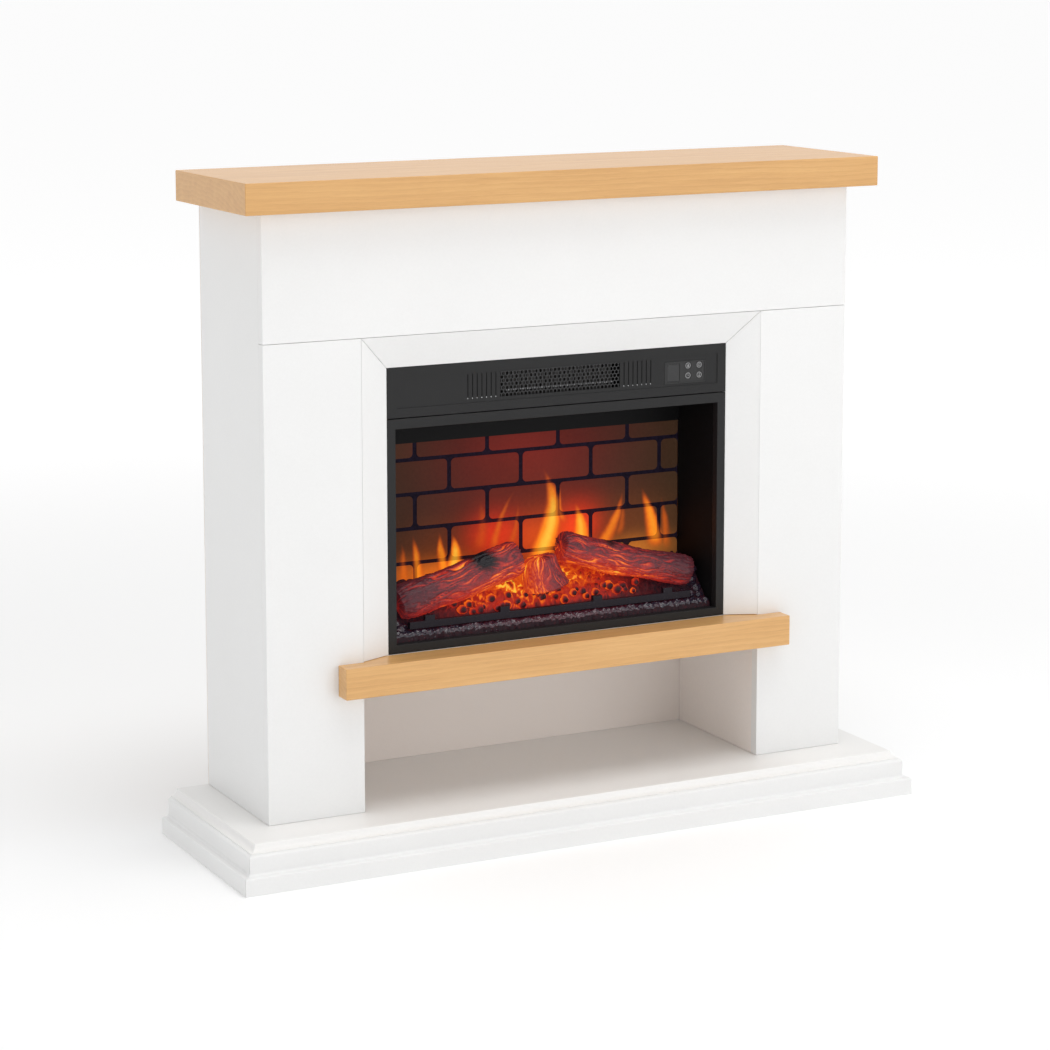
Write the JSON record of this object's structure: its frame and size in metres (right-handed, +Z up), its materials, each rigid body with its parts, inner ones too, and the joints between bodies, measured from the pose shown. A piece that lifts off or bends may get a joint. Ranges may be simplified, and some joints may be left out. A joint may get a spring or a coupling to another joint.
{
  "type": "electric fireplace with mantel surround",
  "caption": "White electric fireplace surround with an oak mantel and lower shelf, an open niche, a stepped plinth and a black log-effect fire with top controls.",
  "frame": {"origin": "bottom centre of the bounding box, on the floor", "axes": "+X to the right seen from the front, +Y towards the wall, +Z up; the fire faces -Y"},
  "size_m": [1.171, 0.3496, 1.04],
  "materials": {
    "white_lacquer": "satin white paint on board",
    "oak": "satin honey oak foil, grain along the width",
    "softwood": "bare planed pine",
    "hardboard": "bare brown hardboard",
    "zinc_steel": "zinc-plated sheet, dull",
    "black_front": "fine-textured satin black",
    "grille_steel": "satin black perforated sheet",
    "black_pod": "satin black",
    "display": "dark gloss window",
    "key_plastic": "black keys with pale grey symbols",
    "circuit_board": "green board",
    "brick_print": "brick-printed translucent screen, lit from behind",
    "black_liner": "matt black",
    "ember_resin": "moulded resin coals, lit from below",
    "log_resin": "moulded resin logs with charred bark",
    "grate_resin": "matt charcoal",
    "mirror_foil": "bright reflecting foil on a rod",
    "motor_can": "satin black motor can",
    "bearing_plastic": "natural nylon",
    "led_board": "white light board",
    "blower_aluminium": "mill finish",
    "heater_ceramic": "dark finned ceramic heater",
    "gland_rubber": "black rubber"
  },
  "bodies": {
    "fireplace": {"mantel_shelf": "oak", "frieze_panel": "white_lacquer", "left_pillar_panel": "white_lacquer", "right_pillar_panel": "white_lacquer", "left_side_panel": "white_lacquer", "right_side_panel": "white_lacquer", "left_niche_wall": "white_lacquer", "right_niche_wall": "white_lacquer", "insert_deck": "white_lacquer", "lower_shelf": "oak", "splay_top": "white_lacquer", "splay_left": "white_lacquer", "splay_right": "white_lacquer", "back_panel": "hardboard", "top_rail": "softwood", "hearth_board": "white_lacquer", "tier_front": "white_lacquer", "tier_left": "white_lacquer", "tier_right": "white_lacquer", "base_front": "white_lacquer", "base_left": "white_lacquer", "base_right": "white_lacquer", "base_rear": "white_lacquer", "insert_case": "zinc_steel", "insert_back": "zinc_steel", "fascia_band": "black_front", "mesh_grille": "grille_steel", "fire_frame": "black_front", "control_pod": "black_pod", "display_window": "display", "control_board": "circuit_board", "left_liner": "black_liner", "right_liner": "black_liner", "header_baffle": "black_liner", "brick_screen": "brick_print", "ember_bed": "ember_resin", "log_left": "log_resin", "log_middle": "log_resin", "log_right": "log_resin", "grate_bar": "grate_resin", "spindle_motor": "motor_can", "spindle_bearing": "bearing_plastic", "flame_led_board": "led_board", "ember_led_strip": "led_board", "heater_duct": "black_liner", "heater_element": "heater_ceramic", "blower_motor": "motor_can", "cable_gland": "gland_rubber", "left_lug": "zinc_steel", "right_lug": "zinc_steel", "left_lug_screw": "zinc_steel", "right_lug_screw": "zinc_steel"},
    "flame_key": {"button_flame": "key_plastic"},
    "power_key": {"button_power": "key_plastic"},
    "timer_key": {"button_timer": "key_plastic"},
    "heat_key": {"button_heat": "key_plastic"},
    "blower": {"blower_wheel": "blower_aluminium"},
    "flame_rotor": {"flame_spindle": "mirror_foil"}
  },
  "joints": [
    {"name": "flame_press", "type": "slide", "parent": "fireplace", "child": "flame_key", "axis": [0, 1, 0], "range_m": [0, 0.001], "stiffness_N_per_m": 400, "springref_m": -0.001},
    {"name": "power_press", "type": "slide", "parent": "fireplace", "child": "power_key", "axis": [0, 1, 0], "range_m": [0, 0.001], "stiffness_N_per_m": 400, "springref_m": -0.001},
    {"name": "timer_press", "type": "slide", "parent": "fireplace", "child": "timer_key", "axis": [0, 1, 0], "range_m": [0, 0.001], "stiffness_N_per_m": 400, "springref_m": -0.001},
    {"name": "heat_press", "type": "slide", "parent": "fireplace", "child": "heat_key", "axis": [0, 1, 0], "range_m": [0, 0.001], "stiffness_N_per_m": 400, "springref_m": -0.001},
    {"name": "blower_spin", "type": "hinge", "parent": "fireplace", "child": "blower", "pos_m": [0, 0.02425, 0.711], "axis": [1, 0, 0], "continuous": true},
    {"name": "flame_rotor_spin", "type": "hinge", "parent": "fireplace", "child": "flame_rotor", "pos_m": [0, 0.09025, 0.405], "axis": [1, 0, 0], "continuous": true}
  ]
}
